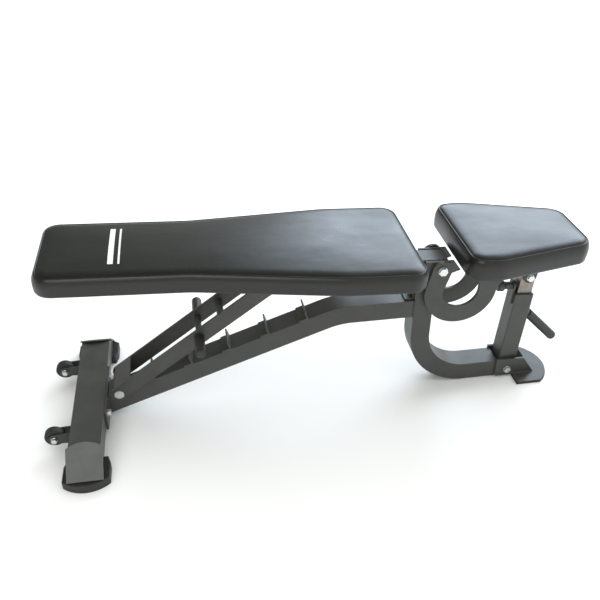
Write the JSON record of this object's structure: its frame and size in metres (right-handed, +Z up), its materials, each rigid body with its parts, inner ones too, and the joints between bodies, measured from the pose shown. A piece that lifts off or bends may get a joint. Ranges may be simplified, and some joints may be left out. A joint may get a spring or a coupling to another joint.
{
  "type": "adjustable weight bench",
  "caption": "Adjustable weight bench: back pad on a ladder-propped strut, tilting seat on a telescopic pinned post, bent front tube, rear cross foot with transport wheels.",
  "frame": {"origin": "on the floor, at the middle of the bench's length and width", "axes": "+X towards the seat end along the bench, +Y across the bench, +Z up"},
  "size_m": [1.3601, 0.56, 0.4922],
  "materials": {
    "black_steel": "satin powder coat",
    "grey_steel": "satin powder coat",
    "zinc": "zinc plated",
    "vinyl": "grained black vinyl",
    "rubber": "matt",
    "plastic": "moulded",
    "plywood": "unfinished birch ply",
    "tyre": "matt"
  },
  "bodies": {
    "frame": {"rear_cross_tube": "black_steel", "rear_end_plate_near": "grey_steel", "rear_end_plate_far": "grey_steel", "rear_foot_near": "rubber", "rear_foot_far": "rubber", "spine_flange": "black_steel", "flange_bolts": "zinc", "spine_tube": "black_steel", "ladder_rungs": "black_steel", "spine_gusset": "black_steel", "front_tube": "black_steel", "front_tube_cap": "plastic", "pivot_plate_near": "black_steel", "pivot_plate_far": "black_steel", "main_pivot_bolt": "zinc", "main_pivot_spacers": "zinc", "post_clevis": "black_steel", "front_foot_plate": "black_steel", "front_foot_pad": "rubber", "clevis_bolt": "zinc", "clevis_spacers": "zinc", "wheel_bracket_near": "black_steel", "wheel_bracket_far": "black_steel", "wheel_bolts": "zinc"},
    "wheel_near": {"wheel_tyre_near": "tyre", "wheel_hub_near": "plastic"},
    "wheel_far": {"wheel_tyre_far": "tyre", "wheel_hub_far": "plastic"},
    "back": {"back_tube": "black_steel", "back_tube_caps": "plastic", "back_straps": "black_steel", "back_screws": "zinc", "back_board": "plywood", "back_cushion": "vinyl", "strut_ears": "black_steel", "strut_pivot_bolt": "zinc"},
    "strut": {"strut_rail_near": "black_steel", "strut_rail_far": "black_steel", "strut_foot_plate": "black_steel", "strut_foot_pin": "zinc", "strut_cross_bar": "black_steel", "strut_handle_bar": "black_steel", "strut_grip_near": "rubber", "strut_grip_far": "rubber"},
    "seat": {"seat_arm_near": "black_steel", "seat_arm_far": "black_steel", "seat_base_plate": "black_steel", "seat_bracket": "black_steel", "seat_screws": "zinc", "seat_board": "plywood", "seat_cushion": "vinyl"},
    "post_outer": {"post_outer": "black_steel", "post_bush": "plastic", "pin_lug": "black_steel", "lift_handle": "black_steel", "lift_grip": "rubber"},
    "post_inner": {"post_inner": "zinc", "seat_link_bolt": "zinc"},
    "pull_pin": {"pull_pin": "zinc", "pull_knob": "plastic"}
  },
  "joints": [
    {"name": "wheel_near_spin", "type": "hinge", "parent": "frame", "child": "wheel_near", "pos_m": [-0.659, -0.128, 0.046], "axis": [0, 1, 0], "continuous": true},
    {"name": "wheel_far_spin", "type": "hinge", "parent": "frame", "child": "wheel_far", "pos_m": [-0.659, 0.128, 0.046], "axis": [0, 1, 0], "continuous": true},
    {"name": "back_tilt", "type": "hinge", "parent": "frame", "child": "back", "pos_m": [0.308, 0, 0.371], "axis": [0, 1, 0], "range_deg": [0, 59]},
    {"name": "strut_swing", "type": "hinge", "parent": "back", "child": "strut", "pos_m": [-0.112, 0, 0.373], "axis": [0, -1, 0], "range_deg": [0, 95]},
    {"name": "seat_tilt", "type": "hinge", "parent": "frame", "child": "seat", "pos_m": [0.308, 0, 0.371], "axis": [0, -1, 0], "range_deg": [0, 10]},
    {"name": "post_lean", "type": "hinge", "parent": "frame", "child": "post_outer", "pos_m": [0.535, 0, 0.026], "axis": [0, 1, 0], "range_deg": [0, 0.6]},
    {"name": "post_slide", "type": "slide", "parent": "post_outer", "child": "post_inner", "axis": [0.062, 0, 0.9981], "range_m": [0, 0.046]},
    {"name": "pin_pull", "type": "slide", "parent": "post_outer", "child": "pull_pin", "axis": [-0.9981, 0, 0.062], "range_m": [0, 0.01], "stiffness_N_per_m": 400, "springref_m": -0.008}
  ],
  "couplings": [
    {"joint": "strut_swing", "follows": "back_tilt", "ratio": 1.59},
    {"joint": "post_lean", "follows": "seat_tilt", "ratio": 0.054},
    {"joint": "post_slide", "follows": "seat_tilt", "m_per_rad": 0.25006}
  ]
}
